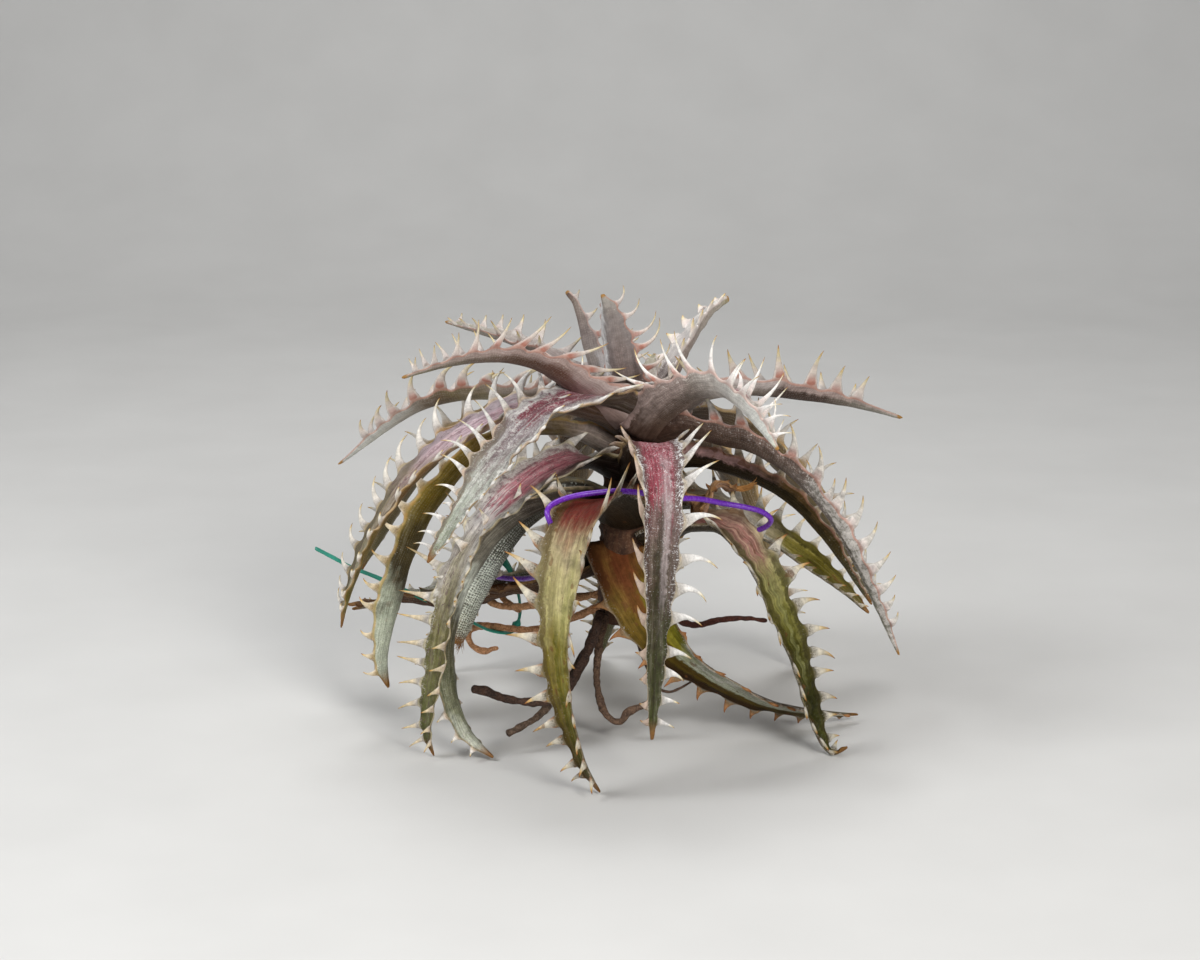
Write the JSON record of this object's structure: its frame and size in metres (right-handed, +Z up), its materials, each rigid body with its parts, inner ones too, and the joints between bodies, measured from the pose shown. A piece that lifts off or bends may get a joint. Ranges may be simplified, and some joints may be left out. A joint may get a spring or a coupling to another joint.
{
  "type": "dyckia bromeliad",
  "caption": "Bare-root dyckia: rosette of thick arching channelled leaves with hooked white marginal spines on a short stem, with bare roots, a wire and a tie still on it.",
  "frame": {"origin": "under the middle of the plant's box, on the surface that the leaf tips stand on", "axes": "+Z up along the stem, -Y toward the side with the two broad drooping front leaves, +X to the right of a viewer who faces that side"},
  "size_m": [0.1168, 0.1062, 0.0868],
  "materials": {
    "young_leaf": "grey-mauve scaly leaf, satin",
    "leaf": "mauve to grey-green scaly leaf, satin, crimson at the bend",
    "old_leaf": "olive to yellow-green leaf, satin",
    "withered_leaf": "dry brown, papery, matte",
    "stem": "rough brown, matte",
    "root": "rough dark brown, matte",
    "wire": "glossy purple plastic coating",
    "tie": "matte teal-green plastic strip"
  },
  "bodies": {
    "root": {"stem": "stem", "front_leaf_centre": "leaf", "front_leaf_left_of_centre": "old_leaf", "front_leaf_right": "old_leaf", "low_leaf_right": "old_leaf", "left_leaf_upper_front": "leaf", "left_leaf_lower_front": "leaf", "left_leaf_long_arch": "leaf", "left_leaf_behind_arch": "old_leaf", "left_leaf_long_back": "young_leaf", "left_leaf_upper": "young_leaf", "left_leaf_cut_short": "old_leaf", "left_leaf_hidden_front": "old_leaf", "low_leaf_back_left": "old_leaf", "crown_leaf_upright": "young_leaf", "crown_leaf_left_back": "young_leaf", "crown_leaf_right_back": "young_leaf", "back_leaf_upper_left": "young_leaf", "right_leaf_arch_front": "young_leaf", "right_leaf_long_arch": "leaf", "right_leaf_under_arch": "old_leaf", "right_leaf_low_back": "old_leaf", "right_leaf_straight_back": "young_leaf", "crown_leaf_centre_young": "young_leaf", "dry_leaf_left": "withered_leaf", "dry_leaf_right": "withered_leaf", "back_leaf_centre": "leaf", "back_leaf_left_of_centre": "leaf", "back_leaf_right": "leaf", "back_leaf_left": "leaf", "back_leaf_right_upper": "leaf", "back_leaf_left_upper": "leaf", "low_leaf_back_centre": "old_leaf", "crown_leaf_behind": "young_leaf", "root_dark_upper": "root", "root_dark_lower": "root", "root_below_stem": "root", "root_hair_right": "root", "root_behind_right": "root", "root_tan_outer": "root", "root_tan_inner": "root", "wire_tie_purple": "wire", "green_tie": "tie"}
  },
  "joints": []
}
